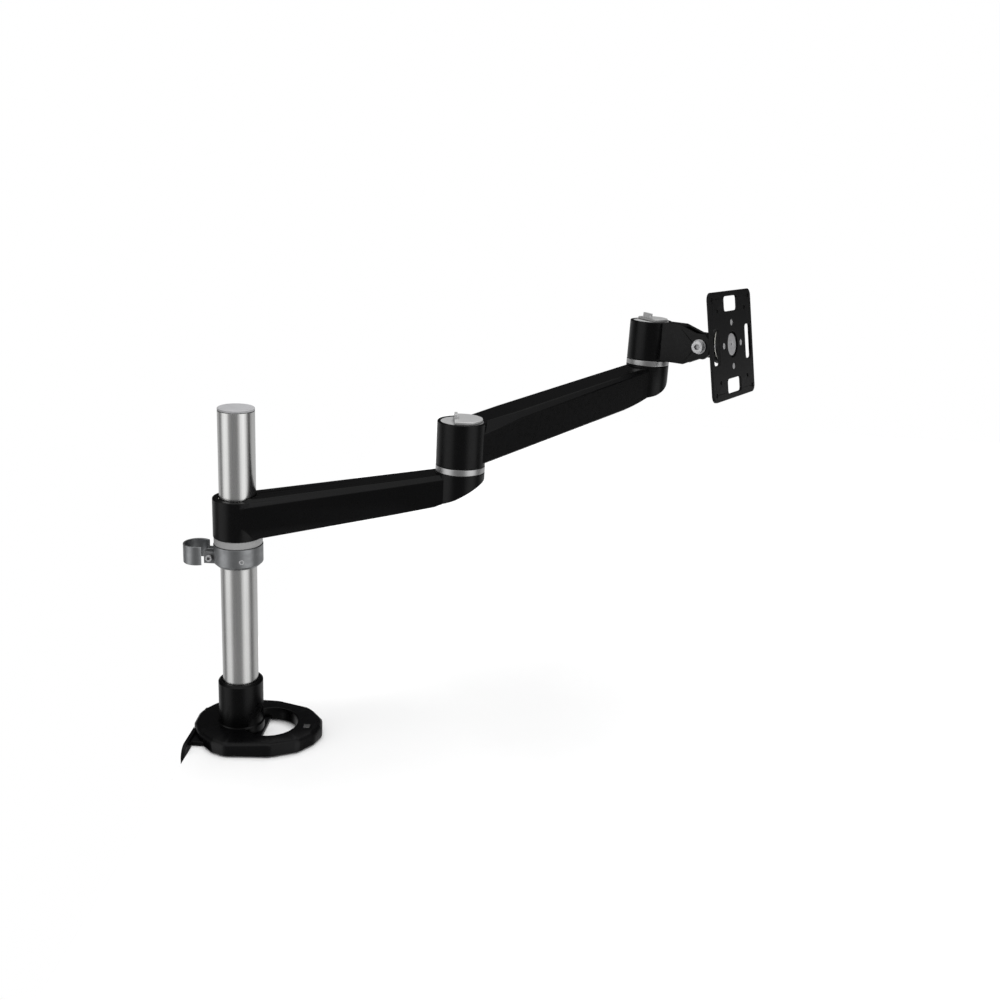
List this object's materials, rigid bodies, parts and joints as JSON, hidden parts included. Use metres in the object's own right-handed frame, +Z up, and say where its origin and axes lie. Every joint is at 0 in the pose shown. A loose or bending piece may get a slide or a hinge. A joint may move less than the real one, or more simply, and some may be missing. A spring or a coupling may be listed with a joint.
{
  "type": "monitor arm",
  "caption": "Desk-clamped pole with a height collar and two swivelling arms that carry a tilting and rotating screen mounting plate.",
  "frame": {"origin": "on the desk top under the pole axis: the plane of the underside of the base", "axes": "+Z up along the pole, +X along the desk away from its clamped edge, +Y away from the user"},
  "size_m": [0.5883, 0.2946, 0.5805],
  "materials": {
    "black_casting": "black powder-coated die casting, satin",
    "black_steel": "black powder-coated steel plate, satin",
    "pole_silver": "satin clear-anodised tube, fine lengthwise brushing",
    "cap_grey": "moulded grey end cap",
    "ring_silver": "turned spacer ring, satin",
    "collar_grey": "cast and machined, satin grey",
    "polished_cap": "polished cap and lever",
    "zinc_steel": "zinc-plated fastener steel",
    "black_plastic": "moulded black plastic, fine spark texture",
    "grey_nylon": "grey nylon bearing ring",
    "nylon": "natural nylon bush",
    "rubber_pad": "non-slip rubber"
  },
  "bodies": {
    "base": {"base_casting": "black_casting", "base_pad": "rubber_pad", "base_badge": "ring_silver", "clamp_bracket": "black_steel", "clamp_nut": "zinc_steel", "edge_pad": "rubber_pad", "base_screws": "zinc_steel", "pole_bolt": "zinc_steel", "pole_plug": "collar_grey", "pole_tube": "pole_silver", "pole_cap": "cap_grey", "socket_screws": "zinc_steel"},
    "clamp_foot": {"clamp_foot": "zinc_steel", "foot_pad": "rubber_pad"},
    "clamp_screw": {"clamp_spindle": "zinc_steel", "clamp_knob": "black_plastic"},
    "collar": {"height_collar": "collar_grey", "collar_screw": "zinc_steel", "collar_nut": "zinc_steel", "collar_grub": "zinc_steel", "cable_clip": "collar_grey", "thrust_ring": "grey_nylon"},
    "lower_arm": {"lower_arm": "black_casting", "lower_cover": "black_plastic", "lower_cover_screws": "zinc_steel", "pole_bushes": "nylon", "hub_brake_screw": "zinc_steel", "mid_spindle": "zinc_steel", "mid_spindle_plug": "black_plastic", "mid_ring": "ring_silver", "mid_washer": "zinc_steel", "mid_springs": "zinc_steel", "mid_nut": "zinc_steel"},
    "upper_arm": {"upper_arm": "black_casting", "upper_cover": "black_plastic", "upper_cover_screws": "zinc_steel", "mid_bush": "nylon", "mid_cap": "polished_cap", "head_spindle": "zinc_steel", "head_spindle_plug": "black_plastic", "head_ring": "ring_silver", "head_washer": "zinc_steel", "head_springs": "zinc_steel", "head_nut": "zinc_steel"},
    "mid_lever": {"mid_lever": "polished_cap"},
    "head": {"head_bracket": "black_casting", "head_bush": "nylon", "head_cap": "polished_cap", "tilt_bolt": "zinc_steel", "tilt_nut": "zinc_steel", "tilt_washers": "zinc_steel"},
    "head_lever": {"head_lever": "polished_cap"},
    "tilt": {"tilt_block": "black_casting", "turn_disc": "nylon", "turn_washer": "zinc_steel", "turn_screw": "zinc_steel"},
    "screen_plate": {"vesa_hub": "black_casting", "vesa_plate": "black_steel", "vesa_rivets": "zinc_steel"}
  },
  "joints": [
    {"name": "clamp_slide", "type": "slide", "parent": "base", "child": "clamp_foot", "axis": [0, 0, 1], "range_m": [-0.018, 0.012]},
    {"name": "clamp_turn", "type": "hinge", "parent": "clamp_foot", "child": "clamp_screw", "pos_m": [-0.006, 0, -0.06], "axis": [0, 0, 1], "range_deg": [-4350, 2900]},
    {"name": "collar_height", "type": "slide", "parent": "base", "child": "collar", "axis": [0, 0, 1], "range_m": [-0.12, 0.08]},
    {"name": "pole_swivel", "type": "hinge", "parent": "collar", "child": "lower_arm", "pos_m": [0, 0, 0.234], "axis": [0, 0, 1], "continuous": true},
    {"name": "middle_swivel", "type": "hinge", "parent": "lower_arm", "child": "upper_arm", "pos_m": [0.21319, 0.01865, 0.2936], "axis": [0, 0, 1], "range_deg": [-185, 105]},
    {"name": "middle_lever_turn", "type": "hinge", "parent": "upper_arm", "child": "mid_lever", "pos_m": [0.21319, 0.01865, 0.3366], "axis": [0, 0, 1], "range_deg": [-60, 30]},
    {"name": "head_swivel", "type": "hinge", "parent": "upper_arm", "child": "head", "pos_m": [0.41118, 0.21664, 0.3776], "axis": [0, 0, 1], "range_deg": [-42, 198]},
    {"name": "head_lever_turn", "type": "hinge", "parent": "head", "child": "head_lever", "pos_m": [0.41118, 0.21664, 0.4206], "axis": [0, 0, 1], "range_deg": [-60, 30]},
    {"name": "screen_tilt", "type": "hinge", "parent": "head", "child": "tilt", "pos_m": [0.46653, 0.18069, 0.4], "axis": [-0.5446, -0.8387, 0], "range_deg": [-30, 50]},
    {"name": "screen_turn", "type": "hinge", "parent": "tilt", "child": "screen_plate", "pos_m": [0.49461, 0.16246, 0.4059], "axis": [0.8259, -0.5364, 0.1736], "range_deg": [-90, 90]}
  ],
  "couplings": [
    {"joint": "clamp_turn", "follows": "clamp_slide", "rad_per_m": 4188.8}
  ]
}
